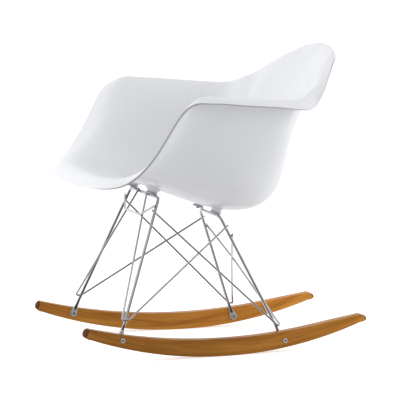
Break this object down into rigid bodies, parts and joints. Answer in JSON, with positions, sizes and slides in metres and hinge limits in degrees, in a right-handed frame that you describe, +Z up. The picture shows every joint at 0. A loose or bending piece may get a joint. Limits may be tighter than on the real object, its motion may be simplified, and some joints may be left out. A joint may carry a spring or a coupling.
{
  "type": "rocking armchair",
  "caption": "Moulded bucket armchair shell on a cross-braced wire base, bolted to two curved wooden rockers.",
  "frame": {"origin": "on the floor in the chair's plane of symmetry, under the middle of its bounding box to within 2 mm; the rockers touch the floor at y = 0.002", "axes": "+X to the sitter's left, -Y the way the sitter faces, +Z up"},
  "size_m": [0.628, 0.6824, 0.686],
  "materials": {
    "shell_plastic": "smooth white moulding with a soft sheen",
    "rocker_wood": "clear satin varnish over honey-brown hardwood",
    "chrome_wire": "bright chrome plating on steel wire and plates",
    "fastener_steel": "zinc-plated steel",
    "pad_rubber": "matt pale grey",
    "insert_brass": "plain machined brass"
  },
  "bodies": {
    "root": {"boss_insert_front_left": "insert_brass", "boss_insert_front_right": "insert_brass", "boss_insert_rear_left": "insert_brass", "boss_insert_rear_right": "insert_brass", "front_brace_left": "chrome_wire", "front_brace_right": "chrome_wire", "front_leg_frame": "chrome_wire", "front_tie_wire": "chrome_wire", "mount_pad_front_left": "pad_rubber", "mount_pad_front_right": "pad_rubber", "mount_pad_rear_left": "pad_rubber", "mount_pad_rear_right": "pad_rubber", "mount_plate_front_left": "chrome_wire", "mount_plate_front_right": "chrome_wire", "mount_plate_rear_left": "chrome_wire", "mount_plate_rear_right": "chrome_wire", "mount_screw_front_left": "fastener_steel", "mount_screw_front_right": "fastener_steel", "mount_screw_rear_left": "fastener_steel", "mount_screw_rear_right": "fastener_steel", "rear_brace_left": "chrome_wire", "rear_brace_right": "chrome_wire", "rear_leg_frame": "chrome_wire", "rocker_bolt_front_left": "fastener_steel", "rocker_bolt_front_right": "fastener_steel", "rocker_bolt_rear_left": "fastener_steel", "rocker_bolt_rear_right": "fastener_steel", "rocker_left": "rocker_wood", "rocker_nut_front_left": "chrome_wire", "rocker_nut_front_right": "chrome_wire", "rocker_nut_rear_left": "chrome_wire", "rocker_nut_rear_right": "chrome_wire", "rocker_right": "rocker_wood", "rocker_washer_front_left": "fastener_steel", "rocker_washer_front_right": "fastener_steel", "rocker_washer_rear_left": "fastener_steel", "rocker_washer_rear_right": "fastener_steel", "seat_shell": "shell_plastic"}
  },
  "joints": []
}
